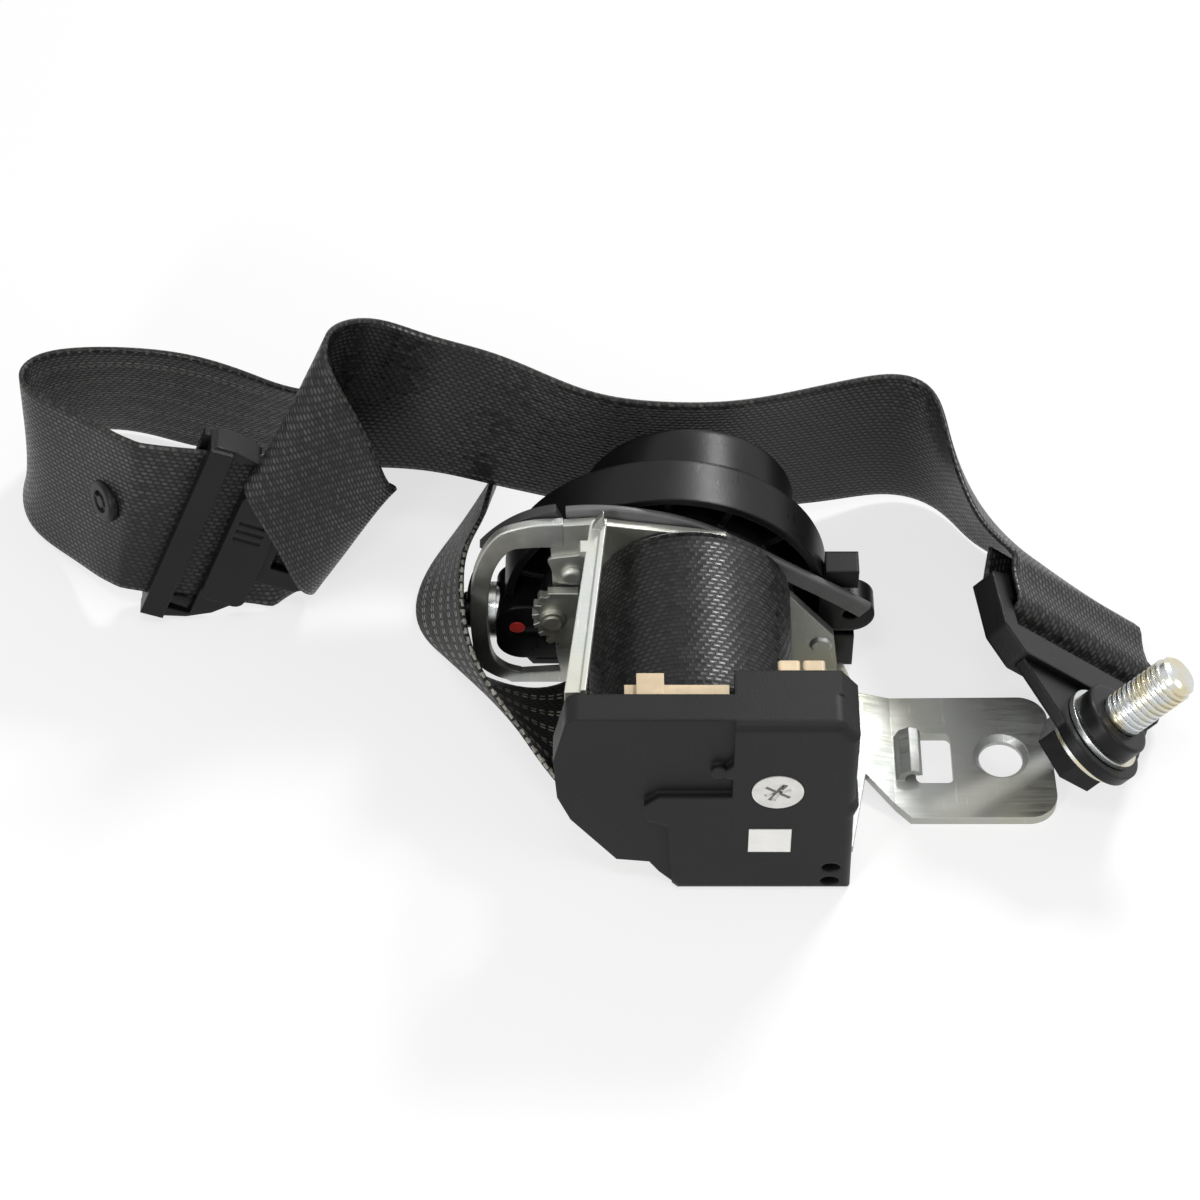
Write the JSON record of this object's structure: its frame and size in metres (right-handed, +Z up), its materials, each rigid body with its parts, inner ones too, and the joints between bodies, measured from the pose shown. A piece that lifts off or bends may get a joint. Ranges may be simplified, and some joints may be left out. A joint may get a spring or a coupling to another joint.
{
  "type": "seat belt pretensioner",
  "caption": "Seat belt retractor with pyrotechnic pretensioner, steel mounting foot, folded black webbing, sliding tongue and bolted end anchor.",
  "frame": {"origin": "centre of the mounting hole in the steel foot, on the foot's underside", "axes": "+Z up, along the mounting hole; +X from the spool towards the foot, the longest direction; +Y from the locking side towards the pretensioner side, along the spool axis"},
  "size_m": [0.2869, 0.1479, 0.0927],
  "materials": {
    "zinc_steel": "satin, zinc plated",
    "bright_steel": "polished, zinc plated",
    "charcoal_plastic": "fine matte moulded",
    "black_plastic": "satin moulded",
    "black_webbing": "woven satin webbing",
    "grey_cable": "soft satin",
    "dark_sleeve": "matte shrink sleeve",
    "cream_plastic": "satin moulded",
    "white_label": "matte printed stock, bare",
    "red_mark": "gloss paint",
    "spring_steel": "blued",
    "cast_grey": "cast"
  },
  "bodies": {
    "retractor": {"anchor_plate": "black_plastic", "anchor_ring": "black_plastic", "case_screws": "bright_steel", "cover_clips": "cream_plastic", "cover_disc": "bright_steel", "cover_label": "white_label", "frame": "zinc_steel", "frame_rivets": "zinc_steel", "front_cover": "charcoal_plastic", "gas_generator": "bright_steel", "generator_ring": "bright_steel", "igniter_cap": "black_plastic", "igniter_lead": "grey_cable", "lead_sleeve": "dark_sleeve", "lead_wires": "dark_sleeve", "main_spring": "spring_steel", "mechanism_carrier": "cream_plastic", "pawl_pin": "zinc_steel", "pretensioner_tube": "zinc_steel", "rear_housing": "black_plastic", "red_marker": "red_mark", "sector_guard": "zinc_steel", "sector_pivot": "zinc_steel", "sector_rivet": "zinc_steel", "sensor_housing": "cream_plastic", "spring_case": "black_plastic", "stop_button_back": "black_plastic", "stop_button_front": "black_plastic", "tube_block": "black_plastic", "web_guide": "zinc_steel", "webbing_anchor_end": "black_webbing", "webbing_back": "black_webbing", "webbing_curl_back": "black_webbing", "webbing_curl_face": "black_webbing", "webbing_exit": "black_webbing", "webbing_fold": "black_webbing", "webbing_loop": "black_webbing", "webbing_rise": "black_webbing", "webbing_run": "black_webbing", "webbing_tongue_run": "black_webbing", "webbing_turn": "black_webbing"},
    "spool": {"spool": "cast_grey", "webbing_roll": "black_webbing", "torsion_bar": "bright_steel", "ratchet_wheel": "zinc_steel", "spring_arbor": "black_plastic"},
    "lock_disc": {"lock_disc": "black_plastic"},
    "pawl": {"lock_pawl": "zinc_steel"},
    "sensor_lever": {"sensor_lever": "black_plastic"},
    "sensor_ball": {"sensor_ball": "bright_steel"},
    "sector": {"toothed_sector": "zinc_steel"},
    "pinion": {"drive_pinion": "bright_steel"},
    "piston": {"piston_rack": "bright_steel", "piston_seal": "black_plastic"},
    "tongue": {"tongue_body": "black_plastic", "tongue_blade": "bright_steel"},
    "bolt": {"anchor_bolt": "bright_steel", "anchor_washer": "bright_steel", "anchor_sleeve": "black_plastic"}
  },
  "joints": [
    {"name": "spool_spin", "type": "hinge", "parent": "retractor", "child": "spool", "pos_m": [-0.0754, 0, 0.035], "axis": [0, 1, 0], "continuous": true},
    {"name": "lock_disc_lag", "type": "hinge", "parent": "spool", "child": "lock_disc", "pos_m": [-0.0754, -0.033, 0.035], "axis": [0, 1, 0], "range_deg": [-12, 12]},
    {"name": "pawl_swing", "type": "hinge", "parent": "retractor", "child": "pawl", "pos_m": [-0.0979, -0.03, 0.031], "axis": [0, 1, 0], "range_deg": [0, 8]},
    {"name": "sensor_lever_tilt", "type": "hinge", "parent": "retractor", "child": "sensor_lever", "pos_m": [-0.0455, -0.0179, 0.022], "axis": [-1, 0, 0], "range_deg": [0, 8]},
    {"name": "sensor_ball_roll", "type": "hinge", "parent": "retractor", "child": "sensor_ball", "pos_m": [-0.0455, -0.0244, 0.0137], "axis": [1, 0, 0], "continuous": true},
    {"name": "sector_swing", "type": "hinge", "parent": "retractor", "child": "sector", "pos_m": [-0.1077, 0.0225, 0.0285], "axis": [0, 1, 0], "range_deg": [-5, 5]},
    {"name": "pinion_spin", "type": "hinge", "parent": "retractor", "child": "pinion", "pos_m": [-0.0754, 0.034, 0.035], "axis": [0, -1, 0], "range_deg": [0, 114]},
    {"name": "piston_slide", "type": "slide", "parent": "retractor", "child": "piston", "axis": [1, 0, 0], "range_m": [0, 0.024]},
    {"name": "tongue_slide", "type": "slide", "parent": "retractor", "child": "tongue", "axis": [0.9827, 0.0233, -0.1836], "range_m": [-0.004, 0.001]},
    {"name": "bolt_spin", "type": "hinge", "parent": "retractor", "child": "bolt", "pos_m": [0.03034, -0.00804, 0.03479], "axis": [0.671, 0.098, 0.735], "continuous": true}
  ],
  "couplings": [
    {"joint": "piston_slide", "follows": "pinion_spin", "m_per_rad": 0.012}
  ]
}
